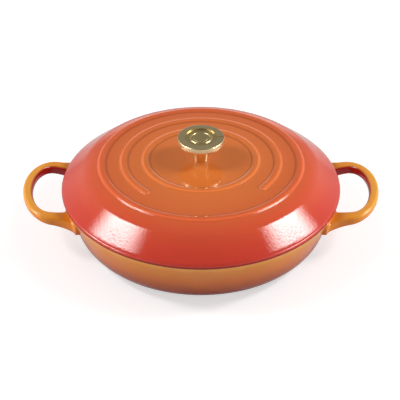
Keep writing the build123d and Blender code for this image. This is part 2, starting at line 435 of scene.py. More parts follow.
@dataclass(frozen=True)
class GlossEnamel:
    """Sprayed vitreous enamel over cast iron, glossy, with a colour that drifts from place to place.

    The glass flows a little before it sets, which leaves a faint orange peel that breaks the edges of
    reflections, and the sprayed colour drifts by a few millimetres along its bands.

    Attributes:
        name: the material's name.
        stops: place and sRGB colour of each stop along the colour's run.
        along_height: whether the colour runs with the height, and not with the distance from the axis.
        run: start and end of the colour's run.
        shade_colour: sRGB colour of the painted shade, mixed in where the shaded layer is set, or nothing.
        peel_width: width of one dimple of the orange peel.
        peel_depth: depth of the orange peel.
        drift_width: width of one patch in which the colour drifts.
        drift: how far the colour drifts along its run.
        roughness: roughness of the glass.
        gloss_spread: share by which the roughness varies with the orange peel.
        ior: refractive index of the glass.
        speckle_width: width of one fleck of the sprayed colour.
        speckle: share by which a fleck is lighter or darker.
        glaze_and_painted_light_tone: how much lighter a ring's outer edge and darker its inner foot are:
            thin and pooled glass, and painted light and shade.
    """

    name: str
    stops: tuple[tuple[float, str], ...]
    along_height: bool
    run: tuple[float, float]
    shade_colour: str | None = None
    peel_width: float = 0.0028
    peel_depth: float = 0.00008
    drift_width: float = 0.022
    drift: float = 0.003
    roughness: float = 0.05
    gloss_spread: float = 0.2
    ior: float = 1.52
    speckle_width: float = 0.0012
    speckle: float = 0.08
    glaze_and_painted_light_tone: float = 0.0

    def place(self, tree: NodeTree, point: NodeSocket) -> NodeSocket:
        """Where a point lies on the colour's run.

        Args:
            tree: the material's node tree.
            point: the socket with the point's object coordinates.

        Returns:
            A socket that runs from 0 to 1.
        """
        patches = add_noise(tree, point, self.drift_width, detail=3.0)
        if self.along_height:
            distance = add_node(tree, "ShaderNodeSeparateXYZ", {"Vector": point}).outputs["Z"]
        else:
            flat = add_node(tree, "ShaderNodeVectorMath", {0: point, 1: (1, 1, 0)}, operation="MULTIPLY")
            length = add_node(tree, "ShaderNodeVectorMath", {0: flat.outputs["Vector"]}, operation="LENGTH")
            distance = length.outputs["Value"]
        centred = calculate(tree, "SUBTRACT", patches, NOISE_MIDDLE)
        moved = calculate(tree, "MULTIPLY_ADD", centred, 2 * self.drift, distance)
        return map_range(tree, moved, source=self.run)

    def build(self) -> Material:
        """Builds the material.

        Returns:
            The enamel as a node material.
        """
        material, tree = new_material(self.name)
        point = add_node(tree, "ShaderNodeTexCoord", {}).outputs["Object"]
        colour = colour_ramp(tree, self.place(tree, point), self.stops)
        # Painted shade: where the shaded layer is set, the colour turns towards the darker shade colour.
        if self.shade_colour is not None:
            shaded = add_node(tree, "ShaderNodeAttribute", {}, attribute_name="shaded")
            mixed = add_node(tree, "ShaderNodeMix",
                             {"Factor": shaded.outputs["Fac"], "A": colour, "B": linear(self.shade_colour)},
                             data_type="RGBA")
            colour = mixed.outputs["Result"]
        tone = vary(tree, add_noise(tree, point, self.speckle_width, detail=2.0), self.speckle)
        # Painted light and shade with the glaze: lighter on the rings' outer edges and darker at their
        # inner feet, where the glass runs thin and pools.
        if self.glaze_and_painted_light_tone:
            edge = add_node(tree, "ShaderNodeAttribute", {}, attribute_name="glaze_and_painted_light")
            tone = calculate(tree, "MULTIPLY_ADD", edge.outputs["Fac"], self.glaze_and_painted_light_tone, tone)
        peel = add_noise(tree, point, self.peel_width, detail=2.0, roughness=0.45)
        gloss = vary(tree, peel, self.gloss_spread, self.roughness)
        add_surface(tree, colour, tone, peel, self.peel_depth, Roughness=gloss, IOR=self.ior)
        return material


@dataclass(frozen=True)
class MatteEnamel:
    """Thin matt ground enamel on the rims, where the castings meet, dark and slightly grainy.

    Attributes:
        name: the material's name.
        colour: sRGB colour.
        grain_width: width of a grain.
        grain_depth: depth of the grain.
        grain_tone: share by which a grain is lighter or darker.
        roughness: roughness of the glass.
        ior: refractive index of the glass.
    """

    name: str = "rim_ground_enamel_matt"
    colour: str = "#2A2523"
    grain_width: float = 0.0008
    grain_depth: float = 0.00006
    grain_tone: float = 0.3
    roughness: float = 0.5
    ior: float = 1.5

    def build(self) -> Material:
        """Builds the material.

        Returns:
            The rim's enamel as a node material.
        """
        material, tree = new_material(self.name)
        point = add_node(tree, "ShaderNodeTexCoord", {}).outputs["Object"]
        grain = add_noise(tree, point, self.grain_width, detail=4.0)
        add_surface(tree, linear(self.colour), vary(tree, grain, self.grain_tone), grain, self.grain_depth,
                    Roughness=self.roughness, IOR=self.ior)
        return material


@dataclass(frozen=True)
class TurnedMetal:
    """Metal turned on a lathe: fine rings round the upright axis, and polished below a height.

    Attributes:
        name: the material's name.
        colour: sRGB colour of the polished metal.
        turned_painted_shade_colour: sRGB colour of the finely turned faces, a darker copy of the metal as
            painted shade.
        polished_below: height below which the metal is polished.
        ring_pitch: spacing of the lathe's rings, coarser than the real feed so that they show.
        ring_depth: depth of the rings.
        ring_strength: how strongly the rings show.
        smear_width: width of one smear in the metal's tone.
        smear: share by which a smear is lighter or darker.
        polished_roughness: roughness of the polished faces.
        turned_roughness: roughness of the turned faces.
    """

    name: str
    colour: str
    turned_painted_shade_colour: str
    polished_below: float
    ring_pitch: float = 0.0006
    ring_depth: float = 0.00002
    ring_strength: float = 0.6
    smear_width: float = 0.004
    smear: float = 0.08
    polished_roughness: float = 0.24
    turned_roughness: float = 0.34

    def build(self) -> Material:
        """Builds the material.

        Returns:
            The metal as a node material.
        """
        material, tree = new_material(self.name)
        point = add_node(tree, "ShaderNodeTexCoord", {}).outputs["Object"]
        parts = add_node(tree, "ShaderNodeSeparateXYZ", {"Vector": point})
        turned = calculate(tree, "GREATER_THAN", parts.outputs["Z"], self.polished_below)
        smears = add_noise(tree, point, self.smear_width, detail=4.0)
        rings = add_node(tree, "ShaderNodeTexWave", {
            "Vector": point, "Scale": WAVE_SPACING / self.ring_pitch, "Distortion": 0.6,
            "Detail": 2.0, "Detail Scale": 1.5,
        }, wave_type="RINGS", rings_direction="Z", wave_profile="SIN")
        # Painted shade: the turned faces take a darker copy of the metal's colour.
        colour = add_node(tree, "ShaderNodeMix", {
            "Factor": turned, "A": linear(self.colour), "B": linear(self.turned_painted_shade_colour)}, data_type="RGBA")
        gloss = map_range(tree, turned, target=(self.polished_roughness, self.turned_roughness))
        strength = calculate(tree, "MULTIPLY", turned, self.ring_strength)
        add_surface(tree, colour.outputs["Result"], vary(tree, smears, self.smear), rings.outputs["Fac"],
                    self.ring_depth, strength, Metallic=1.0, Roughness=gloss)
        return material


# Castings


# Travel along a handle's arm at which every line of it is inside the wall
ARM_SEARCH_END = 1.9
# Halvings of the search for the place where a line meets the wall
ARM_SEARCH_STEPS = 40
# Travel over which the direction of a line at the wall is taken
PROBE_TRAVEL = 0.02
# A corner step that still belongs to its own quarter of the section
LAST_OF_QUARTER = 1 - 1e-9
# Share of the rim's round that stays bare
BARE_ROUND_SHARE = 0.6
# Share of the foot's height under which the pot counts as underside
UNDERSIDE_SHARE = 1.5
# Upward part of a normal from which a face counts as lying level
LEVEL_FACE = 0.5
# Downward part of a normal from which the lid's seat is told from its skirt
SEAT_FACE = -0.9
# Upward part of a normal under which the lid's face looks inwards
INWARD_FACE = 0.2
# Distance from the seat's height within which a face belongs to the seat
SEAT_TOLERANCE = 0.0002
# Room that an arc's end leaves for the round after it, as a multiple of that round's tangent
ARC_ROOM = 1.02


@dataclass(frozen=True)
class PotForm:
    """Sizes of the pot casting without its handles.

    Attributes:
        height: height of the rim above the table.
        rim_radius: outer radius at the rim.
        flare: angle of the wall from upright.
        corner_radius: outer radius of the corner between wall and base.
        wall: thickness of the wall.
        base: height of the inner floor above the table.
        rim_round: radius of the rim's edges.
        foot_width: width of the foot ring.
        foot_height: depth of the recess inside the foot ring.
        steps: number of steps in the turned mesh.
        row: longest edge of the half section.
    """

    height: float = 0.0620
    rim_radius: float = 0.1552
    flare: float = math.radians(19.6)
    corner_radius: float = 0.0345
    wall: float = 0.0035
    base: float = 0.0042
    rim_round: float = 0.0010
    foot_width: float = 0.0080
    foot_height: float = 0.0010
    steps: int = 256
    row: float = 0.004

    def outer_radius(self, height: float) -> float:
        """Radius of the flared outside at a height."""
        return self.rim_radius - (self.height - height) * math.tan(self.flare)

    def inner_radius(self, height: float) -> float:
        """Radius of the flared inside at a height."""
        return self.outer_radius(height) - self.wall / math.cos(self.flare)


@dataclass(frozen=True)
class LoopHandle:
    """A loop handle cast with the pot: a bar that bows out from the wall and flares where it meets it.

    Attributes:
        pot: the pot that the handle is cast with.
        reach: how far the bow stands out from the rim.
        bow_depth: depth of the outer half ellipse.
        half_width: half the loop's width, outside.
        root_flare: how much wider the outside is at the wall.
        tip_width: width of the bar at the tip.
        side_width: width of the bar at the sides of the bow.
        gap_bow_depth: depth of the inner half ellipse.
        gap_root_taper: how much narrower the gap is at the wall.
        tip_thickness: thickness of the bar at the tip.
        root_thickness: thickness of the bar at the root's depth.
        root_inset: how far inside the rim the root's thickness is measured.
        tip_drop: depth of the bar's middle below the rim, at the tip.
        rise: angle at which the bar rises outwards.
        edge_round: radius of the bar's long edges.
        root_round: radius of the round between wall and bar, above and below.
        root_sweep: radius of that round at the bar's sides.
        sunk: how deep the closed ends of the bar stand in the wall.
        shade_gain: how fast the painted shade sets in towards the gap.
        shade_start: how far that painted shade stays away from the bar's top and underside.
        bow_steps: steps of the mesh from the tip to the end of the bow.
        arm_steps: steps along an arm.
        round_steps: steps of the round at the wall.
        corner_steps: steps round each long edge.
    """

    pot: PotForm
    reach: float = 0.04459
    bow_depth: float = 0.0358
    half_width: float = 0.0573
    root_flare: float = 0.0097
    tip_width: float = 0.0108
    side_width: float = 0.0138
    gap_bow_depth: float = 0.0204
    gap_root_taper: float = 0.0050
    tip_thickness: float = 0.0100
    root_thickness: float = 0.0130
    root_inset: float = 0.0340
    tip_drop: float = 0.0035
    rise: float = math.radians(10.2)
    edge_round: float = 0.0038
    root_round: float = 0.0026
    root_sweep: float = 0.0050
    sunk: float = 0.0012
    shade_gain: float = 1.6
    shade_start: float = 0.3
    bow_steps: int = 26
    arm_steps: int = 9
    round_steps: int = 6
    corner_steps: int = 6

    def middle_height(self, radius: float) -> float:
        """Height of the bar's middle at a distance from the pot's axis."""
        tip = self.pot.rim_radius + self.reach
        return self.pot.height - self.tip_drop - (tip - radius) * math.tan(self.rise)

    def thickness(self, radius: float) -> float:
        """Thickness of the bar at a distance from the pot's axis."""
        root = self.pot.rim_radius - self.root_inset
        tip = self.pot.rim_radius + self.reach
        share = (radius - root) / (tip - root)
        return self.root_thickness + (self.tip_thickness - self.root_thickness) * share

    def edge_point(self, travel: float, outside: bool) -> Vector:
        """Point in plan on one long side of the bar.

        Args:
            travel: 0 at the tip, 1 at the end of the bow, and on from there along the arm.
            outside: the loop's outside, and not the side of the gap.

        Returns:
            The point, on the side of +Y.
        """
        reach = self.reach if outside else self.reach - self.tip_width
        depth = self.bow_depth if outside else self.gap_bow_depth
        half = self.half_width if outside else self.half_width - self.side_width
        wall_half = half + (self.root_flare if outside else -self.gap_root_taper)
        centre = self.pot.rim_radius + reach - depth
        if travel <= 1:
            angle = travel * math.pi / 2
            return Vector((centre + depth * math.cos(angle), half * math.sin(angle)))
        wall_radius = self.pot.outer_radius(self.middle_height(self.pot.rim_radius))
        arm = centre - math.sqrt(wall_radius ** 2 - wall_half ** 2)
        drift = wall_half - half
        bend = (arm ** 2 + drift ** 2) / (2 * abs(drift))
        along = (travel - 1) * arm
        swing = bend - math.sqrt(bend ** 2 - along ** 2)
        return Vector((centre - along, half + math.copysign(swing, drift)))

    def skin_point(self, travel: float, turn: float) -> Vector:
        """Point on the bar's surface.

        Args:
            travel: as for edge_point.
            turn: place round the section, from 0 to 4, one for each rounded edge.

        Returns:
            The point, on the side of +Y.
        """
        outer, inner = self.edge_point(travel, True), self.edge_point(travel, False)
        across = (outer - inner) / 2
        quarter = min(3, int(turn))
        angle = turn * math.pi / 2
        side_sign = 1 if quarter in (0, 3) else -1
        top_sign = 1 if quarter in (0, 1) else -1
        flat = side_sign * (across.length - self.edge_round) + self.edge_round * math.cos(angle)
        plan = (outer + inner) / 2 + across.normalized() * flat
        half_thickness = self.thickness(plan.x) / 2
        up = top_sign * (half_thickness - self.edge_round) + self.edge_round * math.sin(angle)
        return Vector((plan.x, plan.y, self.middle_height(plan.x) + up))

    def wall_travel(self, turn: float) -> float:
        """Travel at which a line along the bar meets the pot's wall."""
        near, far = 1.0, ARM_SEARCH_END
        for _ in range(ARM_SEARCH_STEPS):
            middle = (near + far) / 2
            point = self.skin_point(middle, turn)
            if flat_radius(point) > self.pot.outer_radius(point.z):
                near = middle
            else:
                far = middle
        return (near + far) / 2

    def turns(self) -> list[float]:
        """Places round the section, with two at each join of a flat and a rounded edge."""
        return [
            quarter + min(step / self.corner_steps, LAST_OF_QUARTER)
            for quarter in range(4)
            for step in range(self.corner_steps + 1)
        ]

    def root_lines(self) -> list[list[Vector]]:
        """Lines of the surface from the bow's end to inside the wall, one for each place round the section.

        Returns:
            For each line its points: along the arm, round into the wall, and the sunk end.
        """
        turns = self.turns()
        hits = [self.wall_travel(turn) for turn in turns]
        feet = [self.skin_point(hit, turn) for hit, turn in zip(hits, turns)]
        middle = sum(feet, Vector()) / len(feet)
        fall = flat_radius(middle) * math.tan(self.pot.flare)
        wall_normal = Vector((middle.x, middle.y, -fall)).normalized()
        lines = []
        for number, (turn, hit, foot) in enumerate(zip(turns, hits, feet)):
            ahead, behind = feet[(number + 1) % len(feet)], feet[number - 1]
            outward = (ahead - behind).cross(wall_normal).normalized()
            if outward.dot(foot - middle) < 0:
                outward = -outward
            sideways = math.hypot(outward.x, outward.y) ** 2
            radius = self.root_round + (self.root_sweep - self.root_round) * sideways
            away = self.skin_point(hit - PROBE_TRAVEL, turn) - foot
            back = PROBE_TRAVEL * radius / away.length
            away.normalize()
            line = [
                self.skin_point(1 + (hit - back - 1) * share / self.arm_steps, turn)
                for share in range(1, self.arm_steps + 1)
            ]
            for share in range(1, self.round_steps + 1):
                angle = math.pi / 2 * share / self.round_steps
                bent = away * (1 - math.sin(angle)) + outward * (1 - math.cos(angle))
                line.append(foot + radius * bent)
            rim = line[-1]
            ring = self.pot.outer_radius(rim.z) / flat_radius(rim)
            line[-1] = Vector((rim.x * ring, rim.y * ring, rim.z))
            line.append(line[-1] - wall_normal * self.sunk)
            lines.append(line)
        return lines

    def add_to(self, mesh: BMesh, shaded: object) -> None:
        """Adds the handle at +X to the pot's mesh.

        Args:
            mesh: the pot's mesh.
            shaded: the vertex layer that says how much painted shade a place gets.
        """
        turns = self.turns()
        roots = self.root_lines()
        half = self.bow_steps + len(roots[0])
        sheet = bmesh.ops.create_grid(mesh, x_segments=2 * half, y_segments=len(turns), size=1)["verts"]
        for vert in sheet:
            along = round((vert.co.x + 1) * half) - half
            around = round((vert.co.y + 1) / 2 * len(turns)) % len(turns)
            if abs(along) <= self.bow_steps:
                point = self.skin_point(abs(along) / self.bow_steps, turns[around])
            else:
                point = roots[around][abs(along) - self.bow_steps - 1]
            vert.co = (point.x, math.copysign(point.y, along) if along else 0.0, point.z)
            # Painted shade: the side of the bar that faces the gap is darkened towards deep red.
            facing_gap = math.cos(turns[around] * math.pi / 2 - math.pi)
            vert[shaded] = smooth_step(facing_gap * self.shade_gain - self.shade_start)
        bmesh.ops.remove_doubles(mesh, verts=sheet, dist=MERGE_DISTANCE)
        open_edges = [edge for edge in mesh.edges if len(edge.link_faces) == 1]
        bmesh.ops.holes_fill(mesh, edges=open_edges, sides=0)


@dataclass(frozen=True)
class PotCasting:
    """The pot: a turned bowl with a foot ring, and two loop handles.

    Attributes:
        form: sizes of the bowl.
    """

    form: PotForm = field(default_factory=PotForm)

    def half_section(self, mesh: BMesh) -> None:
        """Draws the bowl's half section, from the middle of the base round to the middle of the floor.

        Args:
            mesh: the mesh that takes it.
        """
        form = self.form
        corner_start = form.outer_radius(0) - form.corner_radius * math.tan((math.pi / 2 - form.flare) / 2)
        mouth = corner_start - form.foot_width
        corners = [
            Corner(0, form.foot_height),
            Corner(mouth - form.foot_height, form.foot_height),
            Corner(mouth, 0),
            Corner(form.outer_radius(0), 0, form.corner_radius),
            Corner(form.rim_radius, form.height, form.rim_round),
            Corner(form.inner_radius(form.height), form.height, form.rim_round),
            Corner(form.inner_radius(form.base), form.base, form.corner_radius - form.wall),
            Corner(0, form.base),
        ]
        add_stretch(mesh, corners)

    def coat_of(self, face: BMFace) -> Coat:
        """Which finish a face of the bowl has."""
        centre = face.calc_center_median()
        inwards = face.normal.x * centre.x + face.normal.y * centre.y < 0
        if centre.z > self.form.height - self.form.rim_round * BARE_ROUND_SHARE:
            return Coat.BARE_RIM
        if centre.z > self.form.foot_height * UNDERSIDE_SHARE and (inwards or face.normal.z > LEVEL_FACE):
            return Coat.INSIDE
        return Coat.OUTSIDE

    def build(self, finishes: Sequence[Material]) -> Object:
        """Builds the pot.

        Args:
            finishes: the materials, in the order of Coat.

        Returns:
            The pot's piece.
        """
        mesh = bmesh.new()
        self.half_section(mesh)
        split_rows(mesh, self.form.row)
        turn_section(mesh, [(FULL_TURN, self.form.steps)])
        for face in mesh.faces:
            face.material_index = self.coat_of(face).value
        shaded = mesh.verts.layers.float.new("shaded")
        bowl = set(mesh.verts)
        LoopHandle(self.form).add_to(mesh, shaded)
        handle = [vert for vert in mesh.verts if vert not in bowl]
        faces = {face for vert in handle for face in vert.link_faces}
        edges = {edge for vert in handle for edge in vert.link_edges}
        bmesh.ops.mirror(mesh, geom=[*handle, *edges, *faces], matrix=Matrix(), merge_dist=-1, axis="X")
        bars = [face for face in mesh.faces if face.verts[0] not in bowl]
        bmesh.ops.recalc_face_normals(mesh, faces=bars)
        shade(mesh)
        return new_piece("pot_casting", mesh, finishes)


@dataclass(frozen=True)
class LidForm:
    """Sizes of the lid casting.

    Attributes:
        seat: height of the face that rests on the pot's rim.
        radius: outer radius that the edge has at its foot, before the lip.
        rise: height of the crown above the seat.
        crown_radius: radius of the dome.
        cone: slope of the cone that falls away from the dome.
        edge_height: height of the edge below the cone.
        edge_draft: angle of the edge from upright.
        wall: thickness of the casting.
        shoulder_round: radius of the round between dome and cone.
        edge_round: radius of the edge's upper round.
        bottom_round: radius of the edge's lower round.
        lip_reach: how far the lip at the edge's foot stands out.
        lip_height: height of the lip's upper side above the seat.
        lip_slope: fall of the lip's upper side.
        lip_round: radius of the rounds beside the lip's upper side.
        hollow_round: radius of the round inside between cone and skirt.
        skirt_depth: how far the skirt hangs into the pot.
        skirt_width: thickness of the skirt.
        skirt_play: room between skirt and pot.
        skirt_round: radius of the skirt's edges.
        pads: number of pads on the skirt.
        pad_half_angle: half the angle that a pad takes.
        pad_slope_share: share of that angle over which a pad's end slopes.
        pad_rise: how far a pad stands out from the skirt.
        beads: radius of the middle of each raised ring.
        broken_bead: number of the ring that stops on both sides of the front.
        bead_height: height of a ring.
        bead_flat: half the width of a ring's level top.
        bead_foot: half the width of a ring with its soft feet.
        ring_line_width: width of the lines along a ring that are painted lighter at its outer edge and
            darker at its inner foot.
        gap_middle: angle from the front to the middle of the broken ring's gap.
        gap: angle of that gap.
        hole_radius: radius of the screw's hole.
        boss_radius: radius of the boss under the crown.
        boss_height: height of that boss.
        boss_round: radius of the boss's edge.
    """

    seat: float = 0.0620
    radius: float = 0.1567
    rise: float = 0.0363
    crown_radius: float = 1.3700
    cone: float = math.radians(39)
    edge_height: float = 0.0046
    edge_draft: float = math.radians(15)
    wall: float = 0.0033
    shoulder_round: float = 0.0360
    edge_round: float = 0.0040
    bottom_round: float = 0.0012
    lip_reach: float = 0.0007
    lip_height: float = 0.0026
    lip_slope: float = math.radians(42)
    lip_round: float = 0.0003
    hollow_round: float = 0.0100
    skirt_depth: float = 0.0050
    skirt_width: float = 0.0032
    skirt_play: float = 0.0016
    skirt_round: float = 0.0010
    pads: int = 4
    pad_half_angle: float = math.radians(6)
    pad_slope_share: float = 0.25
    pad_rise: float = 0.0011
    beads: tuple[float, ...] = (0.1105, 0.0862, 0.0619)
    broken_bead: int = 1
    bead_height: float = 0.0015
    bead_flat: float = 0.0025
    bead_foot: float = 0.0052
    ring_line_width: float = 0.0018
    gap_middle: float = math.radians(3.7)
    gap: float = math.radians(89.8)
    hole_radius: float = 0.0034
    boss_radius: float = 0.0100
    boss_height: float = 0.0012
    boss_round: float = 0.0005

    @property
    def top(self) -> float:
        """Height of the crown's middle."""
        return self.seat + self.rise

    @property
    def edge(self) -> Corner:
        """Corner between cone and edge."""
        radius = self.radius - self.edge_height * math.tan(self.edge_draft)
        return Corner(radius, self.seat + self.edge_height, self.edge_round)

    @property
    def lip(self) -> list[Corner]:
        """Corners of the narrow lip at the edge's foot, which catches the light."""
        outer = self.edge.radius + self.lip_reach
        fall = self.lip_reach * math.tan(self.lip_slope)
        return [
            Corner(self.edge.radius, self.seat + self.lip_height, self.lip_round),
            Corner(outer, self.seat + self.lip_height - fall, self.lip_round),
            Corner(outer, self.seat, self.bottom_round),
        ]

    def shoulder(self, inset: float) -> Corner:
        """Corner between dome and cone.

        Args:
            inset: depth below the outer surface.

        Returns:
            The corner on the surface at that depth.
        """
        slope = math.tan(self.cone)
        radius = self.crown_radius - inset
        edge = self.edge
        on_axis = edge.height + edge.radius * slope - inset / math.cos(self.cone)
        rise = on_axis - (self.top - inset) + radius
        reach = math.sqrt(radius ** 2 * (1 + slope ** 2) - rise ** 2)
        distance = (slope * rise - reach) / (1 + slope ** 2)
        return Corner(distance, on_axis - distance * slope, self.shoulder_round - inset, SHOULDER_SEGMENTS)


@dataclass(frozen=True)
class LidCasting:
    """The lid: a domed shell with three raised rings, a seat, a skirt with pads and a drilled boss.

    Attributes:
        form: sizes of the lid.
        pot: sizes of the pot that the lid fits.
        crown_steps: rows of the crown's outside.
        inner_steps: rows of the crown's inside.
        row: longest edge of the rest of the half section.
        end_zone: angle of the close steps at each end of the broken ring.
        end_steps: steps in such a zone.
        steps: steps in a full turn elsewhere.
    """

    form: LidForm = field(default_factory=LidForm)
    pot: PotForm = field(default_factory=PotForm)
    crown_steps: int = 124
    inner_steps: int = 24
    row: float = 0.003
    end_zone: float = math.radians(3)
    end_steps: int = 12
    steps: int = 270

    def half_section(self, mesh: BMesh, crown: object, skirt: object) -> None:
        """Draws the lid's half section as a closed outline.

        Args:
            mesh: the mesh that takes it.
            crown: vertex layer that marks the crown's outside.
            skirt: vertex layer that marks the skirt's outside.
        """
        form = self.form
        shoulder, inner_shoulder = form.shoulder(0), form.shoulder(form.wall)
        foot = form.seat - form.skirt_depth
        skirt_seat = self.pot.inner_radius(form.seat) - form.skirt_play
        skirt_foot = self.pot.inner_radius(foot) - form.skirt_play
        skirt_inner = skirt_foot - form.skirt_width
        cone_foot = inner_shoulder.height - (skirt_inner - inner_shoulder.radius) * math.tan(form.cone)
        centre = form.top - form.crown_radius
        start = mesh.verts.new((form.hole_radius, 0, centre + math.sqrt(
            form.crown_radius ** 2 - form.hole_radius ** 2)))
        turn = form.cone - math.asin(shoulder.radius / form.crown_radius)
        room = form.shoulder_round * math.tan(turn / 2) * ARC_ROOM
        end = swing_arc(mesh, start, centre, form.crown_radius, shoulder.radius - room, self.crown_steps)
        boss_face = form.top - form.wall - form.boss_height
        inner_start = mesh.verts.new((form.boss_radius, 0, centre + math.sqrt(
            (form.crown_radius - form.wall) ** 2 - form.boss_radius ** 2)))
        inner_room = inner_shoulder.rounding * math.tan(turn / 2) * ARC_ROOM
        inner_end = swing_arc(mesh, inner_start, centre, form.crown_radius - form.wall,
                              inner_shoulder.radius - inner_room, self.inner_steps)
        outside = [
            shoulder,
            form.edge,
            *form.lip,
            Corner(skirt_seat, form.seat),
            Corner(skirt_foot, foot, form.skirt_round),
            Corner(skirt_inner, foot, form.skirt_round),
            Corner(skirt_inner, cone_foot, form.hollow_round),
            inner_shoulder,
            Corner(inner_end.co.x, inner_end.co.z),
        ]
        before = set(mesh.verts)
        add_stretch(mesh, outside, end)
        mid_wall = form.crown_radius - form.wall / 2
        for vert in mesh.verts:
            vert[crown] = float(math.hypot(vert.co.x, vert.co.z - centre) > mid_wall)
            at_skirt = abs(vert.co.x - skirt_seat) < form.wall / 2
            on_skirt = at_skirt and foot + form.skirt_round < vert.co.z <= form.seat
            vert[skirt] = float(vert not in before and on_skirt)
        boss = [
            Corner(form.boss_radius, boss_face, form.boss_round),
            Corner(form.hole_radius, boss_face),
        ]
        last = add_stretch(mesh, boss, inner_start)[-1]
        mesh.edges.new((last, start))
        bmesh.ops.remove_doubles(mesh, verts=mesh.verts[:], dist=MERGE_DISTANCE)

    def from_gap(self, point: Vector) -> float:
        """Angle of a point from the nearer end of the broken ring's gap, negative inside the gap."""
        from_middle = math.atan2(point.x, -point.y) - self.form.gap_middle
        return abs(math.remainder(from_middle, FULL_TURN)) - self.form.gap / 2

    def ring_share(self, point: Vector) -> float:
        """How high a raised ring stands at a point of the crown.

        Args:
            point: the point.

        Returns:
            The height, from 0 on the plain crown to 1 on a ring's top.
        """
        form = self.form
        radius = flat_radius(point)
        slope_width = form.bead_foot - form.bead_flat
        best = 0.0
        for number, middle in enumerate(form.beads):
            share = smooth_step((form.bead_foot - abs(radius - middle)) / slope_width)
            if share and number == form.broken_bead:
                inside = self.from_gap(point) * radius
                share *= smooth_step((inside + slope_width / 2) / slope_width)
            best = max(best, share)
        return best

    def glaze_and_painted_light(self, point: Vector) -> float:
        """How much lighter or darker a point of the crown is painted: thin and pooled glass, and painted
        light and shade.

        Args:
            point: the point.

        Returns:
            1 on a ring's outer edge, lighter for thin glass and painted light, and -1 at its inner foot,
            darker for pooled glass and painted shade.
        """
        form = self.form
        radius = flat_radius(point)
        best = 0.0
        for number, middle in enumerate(form.beads):
            line = smooth_step(1 - abs(radius - middle - form.bead_flat) / form.ring_line_width)
            pool_and_painted_shade = smooth_step(1 - abs(radius - middle + form.bead_foot) / form.ring_line_width)
            share = line - pool_and_painted_shade
            if share and number == form.broken_bead:
                share *= self.from_gap(point) > 0
            if abs(share) > abs(best):
                best = share
        return best

    def raise_rings(self, mesh: BMesh, crown: object) -> None:
        """Lifts the raised rings out of the plain crown and marks painted light and shade: the rings'
        lighter edges and darker feet, and the lid's darker lower edge.

        Args:
            mesh: the lid's mesh.
            crown: vertex layer that marks the crown's outside.
        """
        # Painted light and shade: this layer lightens the rings' outer edges and darkens their inner feet,
        # together with thin and pooled glass.
        thin = mesh.verts.layers.float.new("glaze_and_painted_light")
        shaded = mesh.verts.layers.float.new("shaded")
        # Painted shade: the lid's lower edge outside the lip is marked darker, for the shaded crease above
        # the pot's rim.
        rim = self.form.edge.radius + self.form.lip_reach / 2
        for vert in mesh.verts:
            if vert[crown]:
                vert[thin] = self.glaze_and_painted_light(vert.co)
                vert.co.z += self.form.bead_height * self.ring_share(vert.co)
            vert[shaded] = float(flat_radius(vert.co) > rim)

    def push_pads(self, mesh: BMesh, skirt: object) -> None:
        """Pushes the pads out of the plain skirt.

        Args:
            mesh: the lid's mesh.
            skirt: vertex layer that marks the skirt's outside.
        """
        form = self.form
        between = FULL_TURN / form.pads
        for vert in mesh.verts:
            if vert[skirt]:
                angle = math.atan2(vert.co.y, vert.co.x) - between / 2
                from_middle = abs(math.remainder(angle, between))
                slope = form.pad_half_angle * form.pad_slope_share
                share = smooth_step((form.pad_half_angle - from_middle) / slope)
                push = 1 + share * form.pad_rise / flat_radius(vert.co)
                vert.co = (vert.co.x * push, vert.co.y * push, vert.co.z)

    def coat_of(self, face: BMFace) -> Coat:
        """Which finish a face has."""
        form = self.form
        centre = face.calc_center_median()
        radius = flat_radius(centre)
        if abs(centre.z - form.seat) < SEAT_TOLERANCE and face.normal.z < SEAT_FACE:
            return Coat.BARE_RIM
        below_seat = centre.z < form.seat
        inner = face.normal.z < INWARD_FACE and radius < form.radius - form.edge_round
        return Coat.INSIDE if below_seat or inner else Coat.OUTSIDE

    def build(self, finishes: Sequence[Material]) -> Object:
        """Builds the lid.

        Args:
            finishes: the materials, in the order of Coat.

        Returns:
            The lid's piece.
        """
        form = self.form
        mesh = bmesh.new()
        crown = mesh.verts.layers.float.new("crown")
        skirt = mesh.verts.layers.float.new("skirt")
        self.half_section(mesh, crown, skirt)
        split_rows(mesh, self.row)
        zone, step = self.end_zone, FULL_TURN / self.steps
        ringed, bare = FULL_TURN - form.gap - zone, form.gap - zone
        sectors = [
            (zone, self.end_steps),
            (ringed, round(ringed / step)),
            (zone, self.end_steps),
            (bare, round(bare / step)),
        ]
        front = -math.pi / 2
        turn_section(mesh, sectors, front + form.gap_middle + form.gap / 2 - zone / 2)
        self.raise_rings(mesh, crown)
        self.push_pads(mesh, skirt)
        mesh.normal_update()
        for face in mesh.faces:
            face.material_index = self.coat_of(face).value
        shade(mesh)
        return new_piece("lid_casting", mesh, finishes)


# Knob


# Depth below the knob's top from which it is polished
POLISH_DROP = 0.0003


